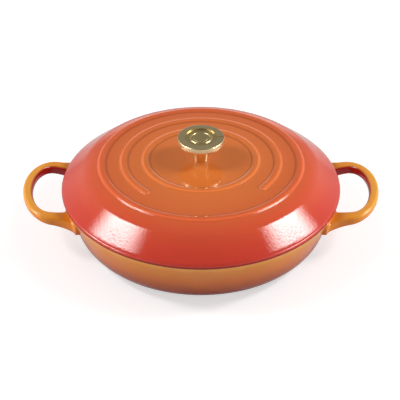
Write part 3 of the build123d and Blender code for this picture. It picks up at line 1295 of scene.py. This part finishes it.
@dataclass(frozen=True)
class KnobTurning:
    """The knob: a waisted stem, a broad flange with a band that leans up, a recess and an index groove.

    Attributes:
        foot: height of the face that stands on the lid.
        top: height of the flange's top.
        flange_radius: largest radius of the flange.
        flange_height: height of the flange.
        band_lean: how much narrower the flange is at its top.
        shoulder_round: radius of the flange's upper edge.
        flange_round: radius of its lower edge.
        stem_top_radius: radius of the stem under the flange.
        stem_foot_radius: radius of the stem on the lid.
        stem_fillet: radius of the round between stem and flange.
        recess_radius: radius of the recess in the top.
        recess_depth: depth of the recess.
        hole_radius: radius of the blind hole for the screw.
        hole_depth: depth of that hole.
        groove_half_angle: half the angle of the zone with close steps round the index groove.
        groove_half_width: half the width of the groove.
        groove_depth: depth of the groove.
        groove_steps: close steps round the groove.
        steps: steps elsewhere.
        row: longest edge of the half section.
    """

    foot: float
    top: float
    flange_radius: float = 0.0268
    flange_height: float = 0.0073
    band_lean: float = 0.0011
    shoulder_round: float = 0.0010
    flange_round: float = 0.0016
    stem_top_radius: float = 0.0097
    stem_foot_radius: float = 0.0083
    stem_fillet: float = 0.0025
    recess_radius: float = 0.0178
    recess_depth: float = 0.0026
    hole_radius: float = 0.00305
    hole_depth: float = 0.0140
    groove_half_angle: float = math.radians(5)
    groove_half_width: float = 0.0008
    groove_depth: float = 0.0014
    groove_steps: int = 32
    steps: int = 180
    row: float = 0.0015

    def cut_groove(self, mesh: BMesh) -> None:
        """Presses the radial index groove into the flange's top, on the side of +X."""
        for vert in mesh.verts:
            outside = vert.co.x > self.recess_radius - MERGE_DISTANCE
            if outside and abs(vert.co.y) < self.groove_half_width:
                vert.co.z = min(vert.co.z, self.top - self.groove_depth)

    def build(self, metal: Material) -> Object:
        """Builds the knob.

        Args:
            metal: its material.

        Returns:
            The knob's piece.
        """
        mesh = bmesh.new()
        flange_foot = self.top - self.flange_height
        floor = self.top - self.recess_depth
        add_stretch(mesh, [
            Corner(0, self.foot + self.hole_depth),
            Corner(self.hole_radius, self.foot + self.hole_depth),
            Corner(self.hole_radius, self.foot),
            Corner(self.stem_foot_radius, self.foot),
            Corner(self.stem_top_radius, flange_foot, self.stem_fillet),
            Corner(self.flange_radius, flange_foot, self.flange_round),
            Corner(self.flange_radius - self.band_lean, self.top, self.shoulder_round),
            Corner(self.recess_radius, self.top),
            Corner(self.recess_radius, floor),
            Corner(0, floor),
        ])
        split_rows(mesh, self.row)
        zone = 2 * self.groove_half_angle
        sectors = [(zone, self.groove_steps), (FULL_TURN - zone, self.steps)]
        turn_section(mesh, sectors, -self.groove_half_angle)
        self.cut_groove(mesh)
        bmesh.ops.recalc_face_normals(mesh, faces=mesh.faces[:])
        shade(mesh)
        return new_piece("knob_turning", mesh, [metal])


@dataclass(frozen=True)
class InlayDisc:
    """The disc in the knob's top, turned with a raised ring and a low middle, and left without a mark.

    Attributes:
        radius: outer radius.
        low: height of its lower face.
        high: height of the raised ring.
        face_height: height of the outer face above the lower one.
        ring_radius: outer radius of the raised ring's top.
        ring_width: width of that top.
        middle_radius: radius of the raised middle.
        moat_depth: depth of the moat between ring and middle.
        middle_drop: how much lower the middle is than the ring.
        bevel: width of the slopes beside the ring and the moat.
        edge_round: radius of the edges.
        row: longest edge of the half section.
        steps: steps of the turned mesh.
    """

    radius: float
    low: float
    high: float
    face_height: float = 0.0012
    ring_radius: float = 0.0118
    ring_width: float = 0.0010
    middle_radius: float = 0.0078
    moat_depth: float = 0.0006
    middle_drop: float = 0.0001
    bevel: float = 0.0007
    edge_round: float = 0.0003
    row: float = 0.0015
    steps: int = 160

    def build(self, metal: Material) -> Object:
        """Builds the disc.

        Args:
            metal: its material.

        Returns:
            The disc's piece.
        """
        mesh = bmesh.new()
        face = self.low + self.face_height
        moat = self.high - self.moat_depth
        middle = self.high - self.middle_drop
        ring_inner = self.ring_radius - self.ring_width
        add_stretch(mesh, [
            Corner(0, self.low),
            Corner(self.radius, self.low),
            Corner(self.radius, face),
            Corner(self.ring_radius + self.bevel, face, self.edge_round),
            Corner(self.ring_radius, self.high, self.edge_round),
            Corner(ring_inner, self.high, self.edge_round),
            Corner(ring_inner - self.bevel, moat, self.edge_round),
            Corner(self.middle_radius + self.bevel, moat, self.edge_round),
            Corner(self.middle_radius, middle, self.edge_round),
            Corner(0, middle),
        ])
        split_rows(mesh, self.row)
        turn_section(mesh, [(FULL_TURN, self.steps)])
        shade(mesh)
        return new_piece("inlay_disc", mesh, [metal])


# Studio


@dataclass(frozen=True)
class Softbox:
    """A soft lamp that faces the object and is dimmer towards its edges.

    Attributes:
        name: the lamp's name.
        azimuth: direction in which it stands, from the front, positive to the right.
        elevation: how high it stands.
        distance: distance from the object.
        width: its width.
        height: its height.
        turn: how far it is turned about the line to the object.
        radiance: how bright the middle of its face is.
        soft_share: share of the face at each edge over which it gets dimmer.
    """

    name: str
    azimuth: float
    elevation: float
    distance: float
    width: float
    height: float
    turn: float
    radiance: float
    soft_share: float

    def fade(self, tree: NodeTree, place: NodeSocket) -> NodeSocket:
        """How bright the face is along one side.

        Args:
            tree: the lamp's node tree.
            place: the socket that runs from 0 to 1 along that side.

        Returns:
            A socket that is 0 at both edges and 1 in the middle.
        """
        from_edge = calculate(tree, "PINGPONG", place, 0.5)
        return map_range(tree, from_edge, source=(0.0, self.soft_share), shape="SMOOTHSTEP")

    def build(self, target: Vector) -> None:
        """Adds the lamp to the scene, turned to the target.

        Args:
            target: the point that it faces.
        """
        lamp = bpy.data.lights.new(self.name, "AREA")
        lamp.shape = "RECTANGLE"
        lamp.size = self.width
        lamp.size_y = self.height
        lamp.energy = self.radiance * math.pi * self.width * self.height
        lamp.use_nodes = True
        tree = lamp.node_tree
        tree.nodes.clear()
        face = add_node(tree, "ShaderNodeNewGeometry", {})
        parts = add_node(tree, "ShaderNodeSeparateXYZ", {"Vector": face.outputs["Parametric"]})
        across, along = self.fade(tree, parts.outputs["X"]), self.fade(tree, parts.outputs["Y"])
        strength = calculate(tree, "MULTIPLY", across, along)
        glow = add_node(tree, "ShaderNodeEmission", {"Strength": strength})
        add_node(tree, "ShaderNodeOutputLight", {"Surface": glow.outputs[0]})
        holder = bpy.data.objects.new(self.name, lamp)
        flat = self.distance * math.cos(self.elevation)
        up = self.distance * math.sin(self.elevation)
        place = target + Vector((flat * math.sin(self.azimuth), -flat * math.cos(self.azimuth), up))
        holder.location = place
        facing = (target - place).to_track_quat("-Z", "Y")
        holder.rotation_euler = (facing @ Quaternion((0, 0, 1), self.turn)).to_euler()
        bpy.context.scene.collection.objects.link(holder)


STRIPS = (
    Softbox("strip_left", azimuth=math.radians(-87), elevation=math.radians(45), distance=1.9,
            width=0.48, height=1.40, turn=math.radians(-52), radiance=20.0, soft_share=0.4),
    Softbox("strip_right", azimuth=math.radians(92), elevation=math.radians(42.5), distance=1.9,
            width=0.50, height=1.40, turn=math.radians(51), radiance=22.0, soft_share=0.4),
)
PANELS = tuple(
    Softbox(name, azimuth=side * math.radians(76), elevation=math.radians(1), distance=2.2,
            width=2.1, height=0.55, turn=0.0, radiance=22.0, soft_share=0.4)
    for name, side in (("panel_left", -1), ("panel_right", 1))
)


@dataclass(frozen=True)
class Studio:
    """White floor, soft lamps at both sides, pale surroundings and the camera.

    Attributes:
        camera_distance: distance from the middle of the pot's rim.
        camera_elevation: angle of the camera above the rim.
        camera_pitch: how far the camera looks down.
        camera_side: how far the camera stands to the right of the object's middle.
        lens: focal length.
        sensor: sensor width.
        floor_size: length of the floor's side.
        paper: sRGB colour of the floor.
        floor_lift: brightness that the floor adds to its lit face where it is seen.
        mirrored_share: share of that brightness which mirrors show.
        overhead: brightness of the surroundings overhead.
        back_glow: how much brighter the surroundings are low at the back.
        side_glow: how much brighter the surroundings are low at both sides.
        front_share: share of that brightness that is left in front, behind the camera.
        glow_height: height on the unit sphere at which the glow at the sides ends.
        side_span: sideways part of a direction over which that glow sets in.
        front_span: backward part of a direction over which the front's dimness ends.
        back_span: backward part of a direction over which the glow at the back sets in.
    """

    camera_distance: float = 1.6
    camera_elevation: float = math.radians(34.17)
    camera_pitch: float = math.radians(34.757)
    camera_side: float = -0.0010
    lens: float = 127.93
    sensor: float = 36.0
    floor_size: float = 8.0
    paper: str = "#CCCCCC"
    floor_lift: float = 0.57
    mirrored_share: float = 0.25
    overhead: float = 0.26
    back_glow: float = 1.2
    side_glow: float = 0.55
    front_share: float = 0.6
    glow_height: float = 0.95
    side_span: tuple[float, float] = (0.25, 0.75)
    front_span: tuple[float, float] = (-0.8, 0.1)
    back_span: tuple[float, float] = (0.93, 0.995)

    def build_camera(self, rim_height: float) -> None:
        """Adds the camera at the angle of the photograph.

        Args:
            rim_height: height of the pot's rim.
        """
        lens = bpy.data.cameras.new("camera")
        lens.lens = self.lens
        lens.sensor_width = self.sensor
        holder = bpy.data.objects.new("camera", lens)
        back = self.camera_distance * math.cos(self.camera_elevation)
        up = self.camera_distance * math.sin(self.camera_elevation)
        holder.location = (self.camera_side, -back, rim_height + up)
        holder.rotation_euler = (math.pi / 2 - self.camera_pitch, 0, 0)
        bpy.context.scene.collection.objects.link(holder)
        bpy.context.scene.camera = holder

    def seen(self, tree: NodeTree) -> NodeSocket:
        """How much of the floor's own brightness a ray shows.

        Args:
            tree: the floor's node tree.

        Returns:
            A socket that is 1 straight from the camera or through glass, and less in a mirror.
        """
        path = add_node(tree, "ShaderNodeLightPath", {})
        shown = calculate(tree, "MULTIPLY_ADD", path.outputs["Is Glossy Ray"], self.mirrored_share,
                          path.outputs["Is Camera Ray"])
        return calculate(tree, "MAXIMUM", shown, path.outputs["Is Transmission Ray"])

    def build_floor(self) -> None:
        """Adds the white floor, which keeps the object's shadow."""
        mesh = bmesh.new()
        bmesh.ops.create_grid(mesh, x_segments=1, y_segments=1, size=self.floor_size / 2)
        material, tree = new_material("studio_paper_white")
        paper = add_node(tree, "ShaderNodeBsdfDiffuse", {"Color": linear(self.paper)})
        lift = calculate(tree, "MULTIPLY", self.seen(tree), self.floor_lift)
        glow = add_node(tree, "ShaderNodeEmission", {"Color": linear("#FFFFFF"), "Strength": lift})
        both = add_node(tree, "ShaderNodeAddShader", {0: paper.outputs[0], 1: glow.outputs[0]})
        finish_material(tree, both)
        new_piece("studio_floor", mesh, [material])

    def build_world(self) -> None:
        """Surrounds the object with a studio: pale low at both sides, dim overhead and darker in front."""
        world = bpy.data.worlds.new("studio")
        world.use_nodes = True
        tree = world.node_tree
        tree.nodes.clear()
        way = add_node(tree, "ShaderNodeTexCoord", {}).outputs["Generated"]
        parts = add_node(tree, "ShaderNodeSeparateXYZ", {"Vector": way})
        x, y, z = (parts.outputs[axis] for axis in "XYZ")
        sideways = calculate(tree, "ABSOLUTE", x)
        side = map_range(tree, sideways, self.side_span, shape="SMOOTHSTEP")
        low = map_range(tree, z, (0.0, self.glow_height), (self.side_glow, 0.0), "SMOOTHSTEP")
        front = map_range(tree, y, self.front_span, (self.front_share, 1.0), "SMOOTHSTEP")
        back = map_range(tree, y, self.back_span, (0.0, self.back_glow), "SMOOTHSTEP")
        above = calculate(tree, "ADD", back, self.overhead)
        glow = calculate(tree, "MULTIPLY_ADD", side, low, above)
        strength = calculate(tree, "MULTIPLY", glow, front)
        background = add_node(tree, "ShaderNodeBackground",
                              {"Color": linear("#FFFFFF"), "Strength": strength})
        add_node(tree, "ShaderNodeOutputWorld", {"Surface": background.outputs[0]})
        bpy.context.scene.world = world

    def build(self, rim_height: float) -> None:
        """Builds the studio.

        Args:
            rim_height: height of the pot's rim, which the camera and lamps are set from.
        """
        bpy.context.scene.view_settings.view_transform = "Standard"
        self.build_camera(rim_height)
        self.build_floor()
        self.build_world()
        target = Vector((0, 0, rim_height))
        for lamp in (*STRIPS, *PANELS):
            lamp.build(target)


def dress(node: str, material: Material) -> None:
    """Gives a carried-over node of the frame its finish.

    Args:
        node: the node's name.
        material: its finish.
    """
    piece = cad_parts[node]
    for number in range(len(piece.data.materials)):
        piece.data.materials[number] = material
    log.info("dressed %s with %s", node, material.name)


def main() -> None:
    """Builds the pieces, the finishes and the studio."""
    logging.basicConfig(level=logging.INFO, format="%(name)s: %(message)s")
    # The pot's shade colour is painted shade on the handles' sides that face the gap.
    pot_outside = GlossEnamel(
        "pot_enamel_ombre_gloss",
        ((0.0, "#6C1C0E"), (0.28, "#96320E"), (0.6, "#D06A14"), (0.88, "#E08420"), (1.0, "#F0A43C")),
        along_height=True, run=(0.0, PotForm().height), shade_colour="#A80C14",
    ).build()
    # The lid's shade colour is painted shade on its lower edge, and its ring tone paints light on the
    # rings' edges and shade at their feet.
    lid_outside = GlossEnamel(
        "lid_enamel_ombre_gloss",
        ((0.0, "#E2823A"), (0.4, "#DC7334"), (0.65, "#D86832"), (0.8, "#D65430"), (0.92, "#D0422C"),
         (1.0, "#C93A2A")),
        along_height=False, run=LID_RUN, shade_colour="#8E1A18", glaze_and_painted_light_tone=0.34,
    ).build()
    inside = GlossEnamel(
        "inner_enamel_sand_gloss", ((0.0, "#D9CBB0"), (1.0, "#E2D6BD")),
        along_height=False, run=LID_RUN, roughness=0.14,
    ).build()
    rim = MatteEnamel().build()

    pot = PotCasting().build([pot_outside, inside, rim])
    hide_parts("pot")
    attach(pot, Body.POT.value)
    log.info("built %s with %d faces", pot.name, len(pot.data.polygons))

    lid = LidCasting().build([lid_outside, inside, rim])
    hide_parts("lid")
    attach(lid, Body.LID.value)
    log.info("built %s with %d faces", lid.name, len(lid.data.polygons))

    knob_low, knob_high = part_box("knob")
    # Each turned metal's second colour is painted shade on its turned faces: the knob's top and the whole
    # inlay.
    brass = TurnedMetal("knob_brass_polished", "#F2E0B0", "#D6C190", knob_high.z - POLISH_DROP)
    knob = KnobTurning(knob_low.z, knob_high.z).build(brass.build())
    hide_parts("knob")
    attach(knob, Body.LID.value)
    log.info("built %s with %d faces", knob.name, len(knob.data.polygons))
    turned = TurnedMetal(
        "inlay_brass_turned", "#F0DDA8", "#D0BA84", knob_low.z, turned_roughness=0.3).build()
    inlay_low, inlay_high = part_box("knob_inlay")
    inlay = InlayDisc(inlay_high.x, inlay_low.z, inlay_high.z).build(turned)
    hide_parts("knob_inlay")
    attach(inlay, Body.LID.value)
    log.info("built %s with %d faces", inlay.name, len(inlay.data.polygons))
    screw = TurnedMetal("screw_stainless_steel", "#C9C9C8", "#B8B8B8", knob_high.z)
    dress("knob_screw", screw.build())
    washer = TurnedMetal("washer_spring_steel", "#A9A9AB", "#9A9A9C", knob_high.z)
    dress("lock_washer", washer.build())

    Studio().build(PotForm().height)


if __name__ == "__main__":
    main()
